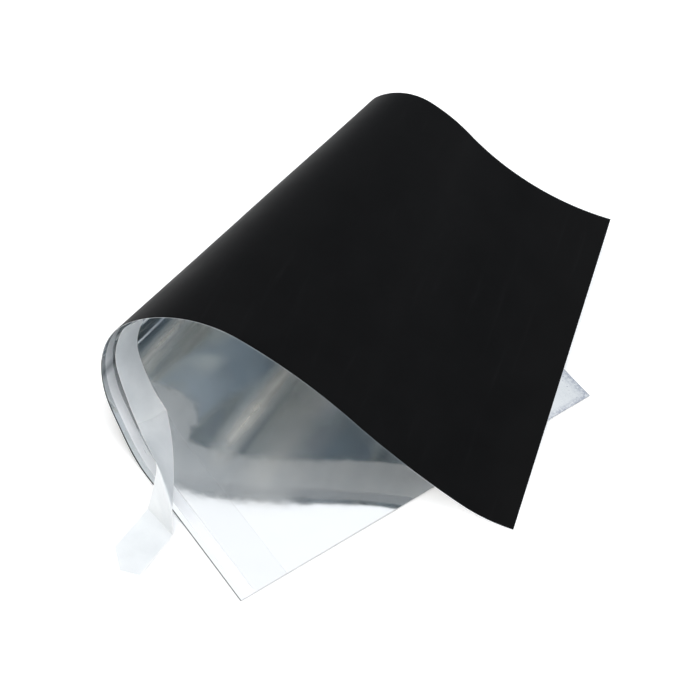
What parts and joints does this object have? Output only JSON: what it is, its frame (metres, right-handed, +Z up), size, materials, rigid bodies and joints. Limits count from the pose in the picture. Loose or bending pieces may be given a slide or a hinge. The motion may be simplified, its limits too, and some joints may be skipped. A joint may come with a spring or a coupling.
{
  "type": "film changing bag",
  "caption": "Light-tight film changing wrap: a rectangular sheet, black outside and silver inside, folded over itself, with a sticky closing strip and a part-peeled release liner.",
  "frame": {"origin": "lower corner of the sheet's closing edge, on the floor under the flat panel", "axes": "+X across the flat panel from the closing edge to the back edge, +Y along the closing edge from the lower end towards the curl, +Z up"},
  "size_m": [0.4776, 0.3353, 0.0972],
  "materials": {
    "film": "matt",
    "foil": "satin",
    "strip": "clear gloss",
    "liner": "satin"
  },
  "bodies": {
    "lower_panel": {"lower_panel_film": "film", "lower_panel_foil": "foil", "lower_panel_strip": "strip"},
    "lower_bend": {"lower_bend_film": "film", "lower_bend_foil": "foil", "lower_bend_strip": "strip"},
    "curl_low": {"curl_low_film": "film", "curl_low_foil": "foil", "curl_low_strip": "strip"},
    "curl_side": {"curl_side_film": "film", "curl_side_foil": "foil", "curl_side_strip": "strip"},
    "curl_high": {"curl_high_film": "film", "curl_high_foil": "foil", "curl_high_strip": "strip"},
    "shoulder": {"shoulder_film": "film", "shoulder_foil": "foil", "shoulder_strip": "strip", "shoulder_liner": "liner"},
    "crown": {"crown_film": "film", "crown_foil": "foil", "crown_strip": "strip", "crown_liner": "liner"},
    "upper_panel": {"upper_panel_film": "film", "upper_panel_foil": "foil", "upper_panel_strip": "strip", "upper_panel_liner": "liner"},
    "sweep": {"sweep_film": "film", "sweep_foil": "foil", "sweep_strip": "strip", "sweep_liner": "liner"},
    "free_end": {"free_end_film": "film", "free_end_foil": "foil", "free_end_strip": "strip", "free_end_liner": "liner"},
    "liner_hang": {"liner_hang": "liner"},
    "liner_end": {"liner_end": "liner"}
  },
  "joints": [
    {"name": "lift_bend", "type": "hinge", "parent": "lower_panel", "child": "lower_bend", "pos_m": [0.1501, 0.16023, 0.00527], "axis": [-0.9508, -0.3098, -0.008], "range_deg": [0, 25], "stiffness_Nm_per_rad": 0.02},
    {"name": "curl_bend_low", "type": "hinge", "parent": "lower_bend", "child": "curl_low", "pos_m": [0.15145, 0.21651, 0.02697], "axis": [-0.9338, -0.3571, -0.02], "range_deg": [0, 35.5], "stiffness_Nm_per_rad": 0.02},
    {"name": "curl_bend_side", "type": "hinge", "parent": "curl_low", "child": "curl_side", "pos_m": [0.15488, 0.22687, 0.04366], "axis": [-0.9401, -0.3405, 0.0148], "range_deg": [0, 35.6], "stiffness_Nm_per_rad": 0.02},
    {"name": "curl_bend_high", "type": "hinge", "parent": "curl_side", "child": "curl_high", "pos_m": [0.16215, 0.22613, 0.06164], "axis": [-0.9366, -0.3464, 0.0533], "range_deg": [0, 35.6], "stiffness_Nm_per_rad": 0.02},
    {"name": "shoulder_bend_low", "type": "hinge", "parent": "curl_high", "child": "shoulder", "pos_m": [0.17554, 0.21248, 0.07694], "axis": [-0.923, -0.3756, 0.0831], "range_deg": [0, 29], "stiffness_Nm_per_rad": 0.02},
    {"name": "shoulder_bend_high", "type": "hinge", "parent": "shoulder", "child": "crown", "pos_m": [0.19308, 0.18959, 0.0827], "axis": [-0.9033, -0.4187, 0.0939], "range_deg": [0, 29.1], "stiffness_Nm_per_rad": 0.02},
    {"name": "crown_bend", "type": "hinge", "parent": "crown", "child": "upper_panel", "pos_m": [0.21854, 0.15294, 0.06762], "axis": [-0.8587, -0.509, 0.059], "range_deg": [0, 16.6], "stiffness_Nm_per_rad": 0.02},
    {"name": "sweep_bend", "type": "hinge", "parent": "upper_panel", "child": "sweep", "pos_m": [0.25052, 0.10614, 0.03236], "axis": [-0.7788, -0.6266, -0.0276], "range_deg": [-11.7, 0], "stiffness_Nm_per_rad": 0.02},
    {"name": "tip_bend", "type": "hinge", "parent": "sweep", "child": "free_end", "pos_m": [0.28529, 0.0554, 0.0082], "axis": [-0.7806, -0.6237, -0.0415], "range_deg": [-26.1, 0], "stiffness_Nm_per_rad": 0.02},
    {"name": "liner_peel", "type": "hinge", "parent": "shoulder", "child": "liner_hang", "pos_m": [0.05462, 0.16294, 0.08726], "axis": [-0.923, -0.3756, 0.0831], "range_deg": [0, 25], "stiffness_Nm_per_rad": 0.002},
    {"name": "liner_fold", "type": "hinge", "parent": "liner_hang", "child": "liner_end", "pos_m": [-0.01136, 0.07316, 0.00036], "axis": [-0.1045, 0.9945, 0], "range_deg": [0, 40], "stiffness_Nm_per_rad": 0.0005}
  ],
  "couplings": [
    {"joint": "curl_bend_side", "follows": "curl_bend_low", "ratio": 1},
    {"joint": "curl_bend_high", "follows": "curl_bend_low", "ratio": 1},
    {"joint": "shoulder_bend_high", "follows": "shoulder_bend_low", "ratio": 1},
    {"joint": "crown_bend", "follows": "shoulder_bend_low", "ratio": 0.56667},
    {"joint": "sweep_bend", "follows": "curl_bend_low", "ratio": -0.32432},
    {"joint": "tip_bend", "follows": "curl_bend_low", "ratio": -0.72973}
  ]
}
